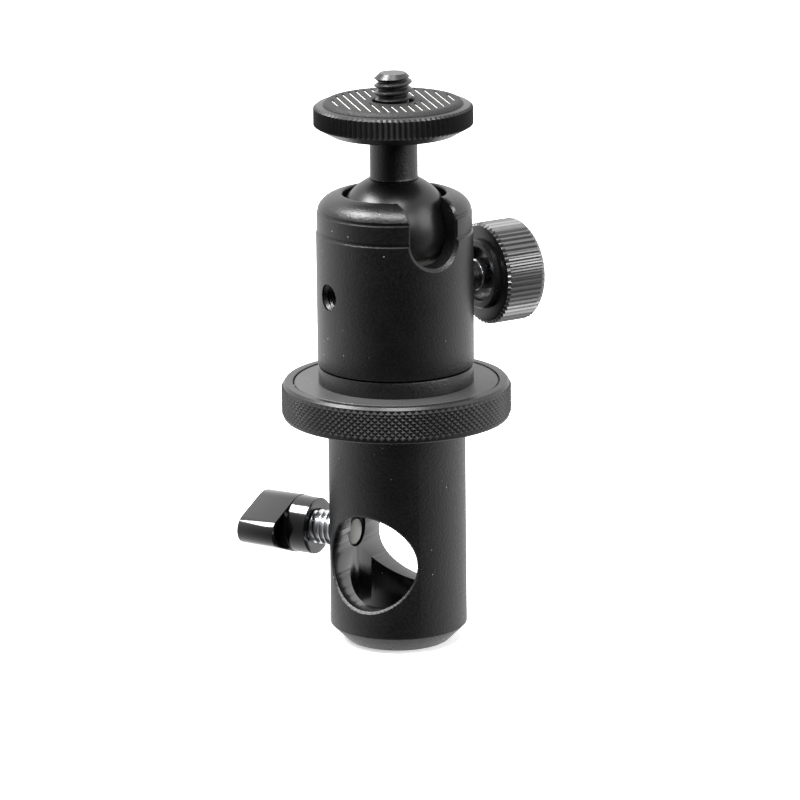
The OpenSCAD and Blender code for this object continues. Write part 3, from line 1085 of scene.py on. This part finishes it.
@dataclass
class Clamp:
    """The wing screw that clamps the spigot, and its soft tip."""

    finishes: Finishes
    layout: Layout
    hub_face: float = 15.8 * MM
    hub_r: float = 4.88 * MM
    hub_len: float = 3.6 * MM
    wing_len: float = 7.0 * MM
    wing_half: float = 9.3 * MM
    end_r: float = 2.5 * MM
    wall: float = 0.95 * MM
    pocket: float = 5.2 * MM
    arm_start: float = 5.1 * MM
    bolt_r: float = 2.95 * MM
    bolt_root: float = 2.42 * MM
    bolt_pitch: float = 1.0 * MM
    bolt_face: float = 9.4 * MM
    bolt_end: float = 21.2 * MM
    tip_face: float = 8.3 * MM
    tip_r: float = 2.3 * MM
    tip_stem_r: float = 1.2 * MM
    edge: float = 0.38 * MM

    def build(self) -> None:
        """Builds the wing, the bolt and the tip."""
        self.build_wing()
        self.build_bolt()
        self.build_tip()

    def build_wing(self) -> None:
        """Wraps the wing round its hub and cores out the back of both arms."""
        start = self.hub_face + self.hub_len
        end = start + self.wing_len
        clear = 12 * MM
        reach = self.wing_half - self.end_r
        wide = self.hub_r + 0.15 * MM
        wing = hull("wing_moulded", [(0, 0, wide), (reach, 0, self.end_r), (-reach, 0, self.end_r)], start, end)
        for side in (-1, 1):
            slim = self.end_r - self.wall
            core = hull("core_cutter", [
                (side * (self.hub_r - 0.2 * MM), 0, 3.1 * MM), (side * reach, 0, slim)],
                start - MM, start + self.pocket)
            near, far = sorted((side * self.arm_start, side * clear))
            keep = block("core_limit", (near, -clear / 2, start - 2 * MM), (far, clear / 2, end))
            combine(core, keep, Boolean.CLIP)
            combine(wing, core)
        hub = turn("wing_hub", [
            (0, self.hub_face), (self.hub_r, self.hub_face), (self.hub_r, start + MM), (0, start + MM)], 96)
        combine(wing, hub, Boolean.JOIN)
        bore = cylinder("hub_cutter", 3.0 * MM, self.hub_face - MM, start + 2 * MM, 64)
        combine(wing, bore)
        soften(wing, self.edge, 4, 35)
        lay(wing, -math.pi / 2, self.layout.clamp_z)
        finish_piece(wing, self.finishes.gloss, "clamp", "wing_handle", 40)

    def build_bolt(self) -> None:
        """Winds the clamp bolt's thread."""
        bolt = thread("clamp_bolt_threaded", self.bolt_r, self.bolt_root, self.bolt_pitch,
                      self.bolt_face - 0.4 * MM, self.bolt_end + 0.1 * MM)
        clear = self.bolt_r + 0.1 * MM
        limit = turn("bolt_limit", [
            (0, self.bolt_face), (self.tip_r, self.bolt_face), (clear, self.bolt_face + 0.7 * MM),
            (clear, self.bolt_end), (0, self.bolt_end)], 96)
        combine(bolt, limit, Boolean.CLIP)
        lay(bolt, -math.pi / 2, self.layout.clamp_z)
        finish_piece(bolt, self.finishes.zinc, "clamp", "clamp_bolt", 30)

    def build_tip(self) -> None:
        """Turns the nylon tip at the end of the bolt."""
        face, rim, stem = self.tip_face, self.tip_r, self.tip_stem_r
        tip = turn("nylon_tip", [
            (0, face), (rim - 0.4 * MM, face), (rim - 0.1 * MM, face + 0.12 * MM), (rim, face + 0.38 * MM),
            (rim, face + MM), (stem, face + MM), (stem, face + 3.5 * MM), (0, face + 3.5 * MM)], 64)
        lay(tip, -math.pi / 2, self.layout.clamp_z)
        finish_piece(tip, self.finishes.nylon, "clamp_tip", "pressure_tip")


def dress_hidden_nodes(nodes: dict[str, Piece], finishes: Finishes) -> None:
    """Gives the nodes that stay as they are, all inside the casings, their finish."""
    looks = {
        "slip_washer": finishes.fibre, "glide_washer": finishes.nylon, "centre_bolt": finishes.zinc,
        "bolt_washer": finishes.zinc, "ball_seat": finishes.nylon, "seat_spring": finishes.zinc,
        "thrust_pin": finishes.brass}
    for name, material in looks.items():
        slots = nodes[name].data.materials
        slots.clear()
        slots.append(material)
        LOG.info("%s: dressed in %s", name, material.name)


# Studio


@dataclass
class Studio:
    """A white table, white surroundings, soft boxes and the camera."""

    azimuth: float = math.radians(30.0)
    elevation: float = math.radians(15.0)
    distance: float = 0.8
    aim_height: float = 41.45 * MM
    aim_right: float = 0.6 * MM
    lens: float = 213.8
    roll: float = math.radians(-0.64)
    front: float = 0.012
    back: float = 1.3

    def build(self) -> None:
        """Builds the table, the light and the camera."""
        self.build_table()
        self.build_world()
        self.build_lights()
        self.build_camera()

    def build_table(self) -> None:
        """Lays a wide pale table under the object."""
        object_mode()
        bpy.ops.mesh.primitive_plane_add(size=8, location=(0, 0, -0.0001))
        table = bpy.context.object
        table.name = "studio_table"
        shader = Shader("table_white")
        shader.colour(shader.ramp(shader.noise(3.0, 2.0), (0.3, (0.8, 0.8, 0.8)), (0.7, (0.84, 0.84, 0.84))))
        shader.set(Roughness=0.9, Emission_Color=(1, 1, 1, 1), Emission_Strength=0.5)
        table.data.materials.append(shader.material)
        table.visible_glossy = False
        table.visible_diffuse = False

    def build_world(self) -> None:
        """Makes the surroundings white to the eye and softer as a light."""
        world = bpy.data.worlds.new("surroundings")
        bpy.context.scene.world = world
        world.use_nodes = True
        tree = world.node_tree
        tree.nodes.clear()
        path, place, facing, level, seen, lit, mix, out = (tree.nodes.new(f"ShaderNode{kind}") for kind in (
            "LightPath", "TexCoord", "VectorMath", "MapRange", "Background", "Background", "MixShader", "OutputWorld"))
        facing.operation = "DOT_PRODUCT"
        facing.inputs[1].default_value = (-math.sin(self.azimuth), math.cos(self.azimuth), 0)
        level.interpolation_type = "SMOOTHSTEP"
        for name, value in (("From Min", -0.95), ("From Max", 0.4), ("To Min", self.front), ("To Max", self.back)):
            level.inputs[name].default_value = value
        seen.inputs["Color"].default_value = lit.inputs["Color"].default_value = (1, 1, 1, 1)
        for source, target in (
            (place.outputs["Generated"], facing.inputs[0]), (facing.outputs["Value"], level.inputs["Value"]),
            (level.outputs["Result"], lit.inputs["Strength"]), (path.outputs["Is Camera Ray"], mix.inputs[0]),
            (lit.outputs[0], mix.inputs[1]), (seen.outputs[0], mix.inputs[2]),
            (mix.outputs[0], out.inputs["Surface"]),
        ):
            tree.links.new(source, target)
        bpy.context.scene.view_settings.view_transform = "Standard"

    def build_lights(self) -> None:
        """Hangs the soft boxes round the object."""
        for name, turn_deg, height, size, power, away in (
            ("box_top", -85.0, 0.76, 0.4, 15.0, 0.45), ("box_crown", 5.0, 0.78, 0.35, 7.0, 0.3),
            ("box_front", 35.0, 0.38, 0.22, 0.9, 0.6),
            ("box_right", 70.0, 0.3, 0.35, 1.6, 0.6),
        ):
            self.add_box(name, math.radians(turn_deg), height, size, power, away)

    def add_box(self, name: str, turn_by: float, height: float, size: float, power: float, away: float) -> None:
        """Adds one soft box.

        Args:
            name: Name of the light.
            turn_by: Its direction from the camera's, in radians.
            height: Its height.
            size: Its side.
            power: Its power in watts.
            away: Its distance from the object's axis.
        """
        light = bpy.data.lights.new(name, "AREA")
        light.shape = "SQUARE"
        light.size = size
        light.energy = power
        lamp = bpy.data.objects.new(name, light)
        bpy.context.scene.collection.objects.link(lamp)
        angle = self.azimuth + turn_by
        lamp.location = (away * math.sin(angle), -away * math.cos(angle), height)
        aim = Vector((0, 0, 0.05)) - lamp.location
        lamp.rotation_euler = aim.to_track_quat("-Z", "Y").to_euler()

    def build_camera(self) -> None:
        """Stands the camera at its place, aimed at the object's middle."""
        a, e = self.azimuth, self.elevation
        back = Vector((math.sin(a) * math.cos(e), -math.cos(a) * math.cos(e), math.sin(e)))
        right = Vector((math.cos(a), math.sin(a), 0))
        target = Vector((0, 0, self.aim_height)) + right * self.aim_right
        data = bpy.data.cameras.new("camera")
        data.lens = self.lens
        data.sensor_width = 36.0
        data.clip_start, data.clip_end = 0.01, 20.0
        camera = bpy.data.objects.new("camera", data)
        bpy.context.scene.collection.objects.link(camera)
        look = (-back).to_track_quat("-Z", "Y").to_matrix().to_4x4()
        place = Matrix.Translation(target + back * self.distance)
        camera.matrix_world = place @ look @ Matrix.Rotation(self.roll, 4, "Z")
        bpy.context.scene.camera = camera


def main() -> None:
    """Builds the studio and the object, one sub-assembly after the other."""
    logging.basicConfig(level=logging.INFO, format="%(message)s")
    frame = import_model()
    Studio().build()
    finishes = Finishes()
    layout = Layout.read(frame["joints"])
    Socket(finishes, layout).build()
    Turntable(finishes).build()
    Head(finishes, layout).build()
    LockKnob(finishes, layout).build()
    Stem(finishes, layout).build()
    Clamp(finishes, layout).build()
    dress_hidden_nodes(frame["nodes"], finishes)


if __name__ == "__main__":
    main()
